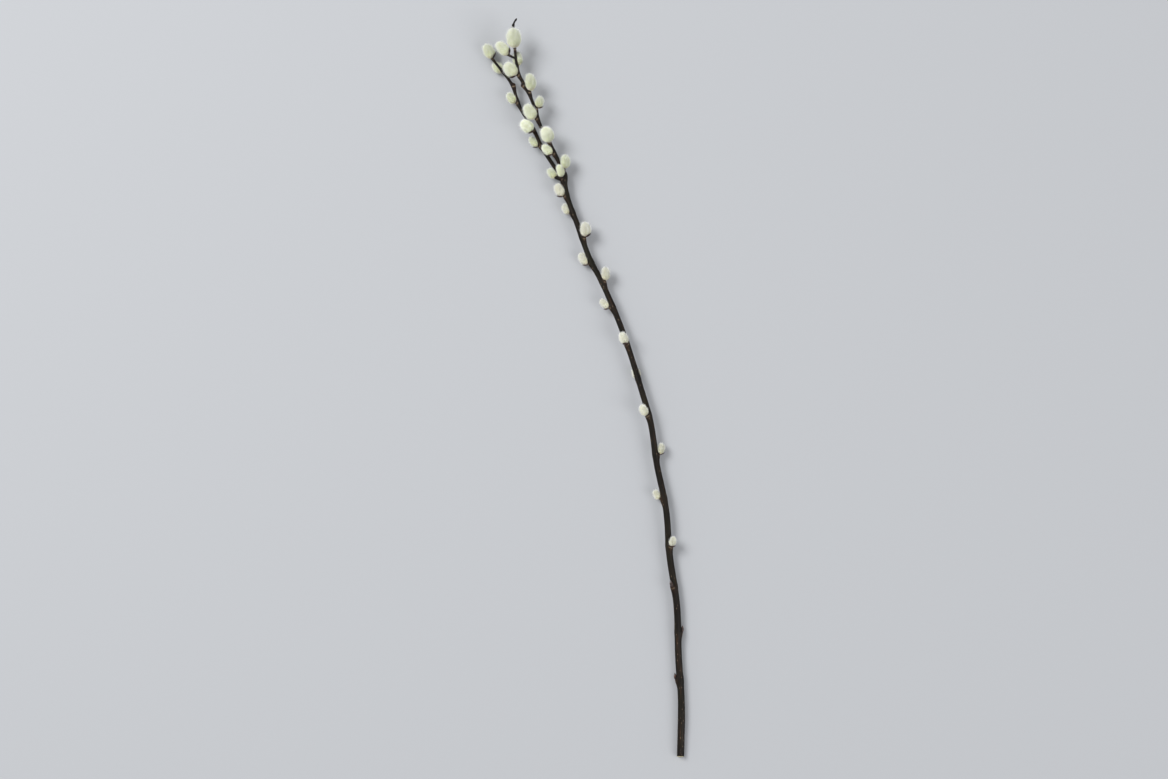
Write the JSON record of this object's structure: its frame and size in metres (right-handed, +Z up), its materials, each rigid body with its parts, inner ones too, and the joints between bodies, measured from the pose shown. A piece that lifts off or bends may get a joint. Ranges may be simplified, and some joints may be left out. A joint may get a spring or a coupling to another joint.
{
  "type": "pussy willow branch",
  "caption": "Cut, forked willow branch with dark bark and silky catkins on its bud cushions, lying on a surface.",
  "frame": {"origin": "middle of the branch's box, on the surface that it lies on", "axes": "+Y along the stem from its cut end to its tips, +Z up from the surface"},
  "size_m": [0.232, 0.8462, 0.0387],
  "materials": {
    "bark": "satin",
    "silk": "matte",
    "husk": "satin"
  },
  "bodies": {
    "root": {"bud_scale_01": "husk", "bud_scale_04": "husk", "bud_scale_05": "husk", "bud_scale_08": "husk", "bud_scale_10": "husk", "bud_scale_13": "husk", "bud_scale_15": "husk", "bud_scale_16": "husk", "bud_scale_18": "husk", "bud_scale_20": "husk", "bud_scale_21": "husk", "bud_scale_23": "husk", "bud_scale_24": "husk", "bud_scale_25": "husk", "bud_scale_27": "husk", "bud_scale_29": "husk", "catkin_01": "silk", "catkin_02": "silk", "catkin_03": "silk", "catkin_04": "silk", "catkin_05": "silk", "catkin_06": "silk", "catkin_07": "silk", "catkin_08": "silk", "catkin_09": "silk", "catkin_10": "silk", "catkin_11": "silk", "catkin_12": "silk", "catkin_13": "silk", "catkin_14": "silk", "catkin_15": "silk", "catkin_16": "silk", "catkin_17": "silk", "catkin_18": "silk", "catkin_19": "silk", "catkin_20": "silk", "catkin_21": "silk", "catkin_22": "silk", "catkin_23": "silk", "catkin_24": "silk", "catkin_25": "silk", "catkin_26": "silk", "catkin_27": "silk", "catkin_28": "silk", "catkin_29": "silk", "closed_bud_01": "husk", "closed_bud_02": "husk", "closed_bud_03": "husk", "stem": "bark"}
  },
  "joints": []
}
